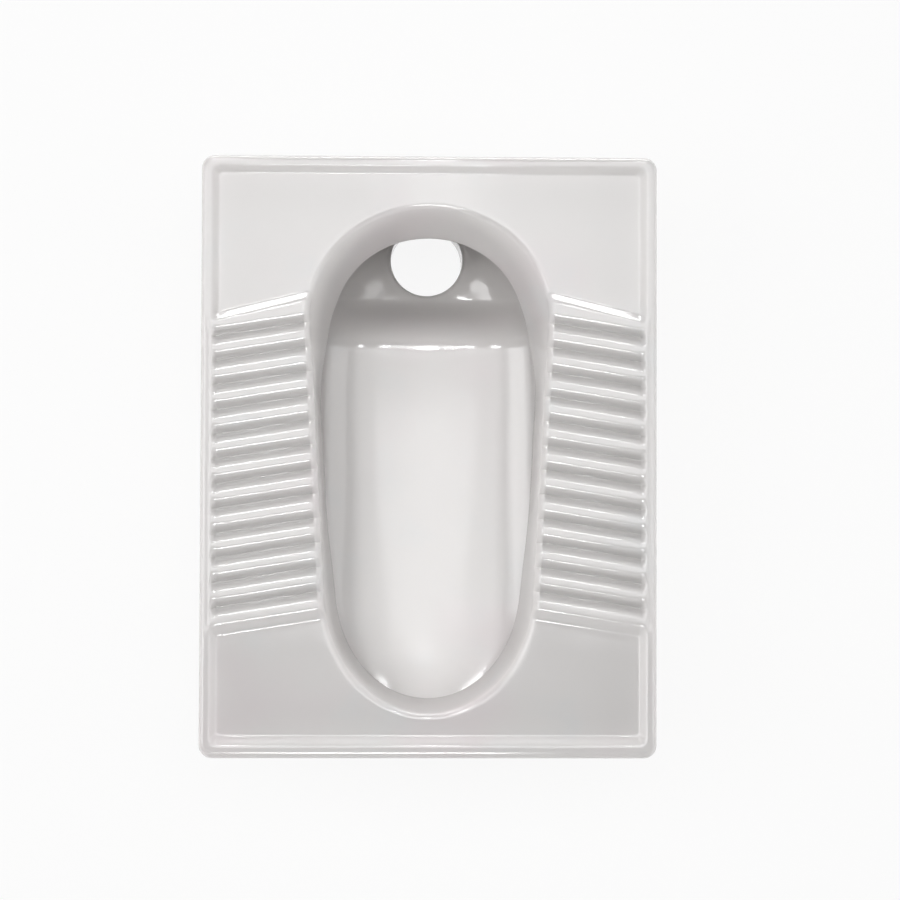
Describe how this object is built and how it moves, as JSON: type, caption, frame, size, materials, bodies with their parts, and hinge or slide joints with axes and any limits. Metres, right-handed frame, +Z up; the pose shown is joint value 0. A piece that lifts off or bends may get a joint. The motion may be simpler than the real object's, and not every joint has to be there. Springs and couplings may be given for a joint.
{
  "type": "squat toilet pan",
  "caption": "Glazed ceramic squat toilet pan: rectangular foot plate with ridged treads and raised border, sunk trough under a closed flushing rim, straight outlet horn.",
  "frame": {"origin": "middle of the bounding box in plan, at the level of the outlet horn's lower end, on which the pan stands", "axes": "+Z up; +Y along the pan's length towards the outlet end; +X across it, to the right when looking along +Y"},
  "size_m": [0.455, 0.6, 0.23],
  "materials": {
    "glaze": "white glossy glaze over vitreous china",
    "biscuit": "unglazed fired body, matt"
  },
  "bodies": {
    "root": {"foot_plate": "glaze", "spray_shelf": "glaze", "rim_outer_wall": "glaze", "bowl": "glaze", "outlet_horn": "glaze", "inlet_horn": "glaze", "front_foot": "biscuit", "left_rear_web": "biscuit", "right_rear_web": "biscuit", "left_front_web": "biscuit", "right_front_web": "biscuit"}
  },
  "joints": []
}
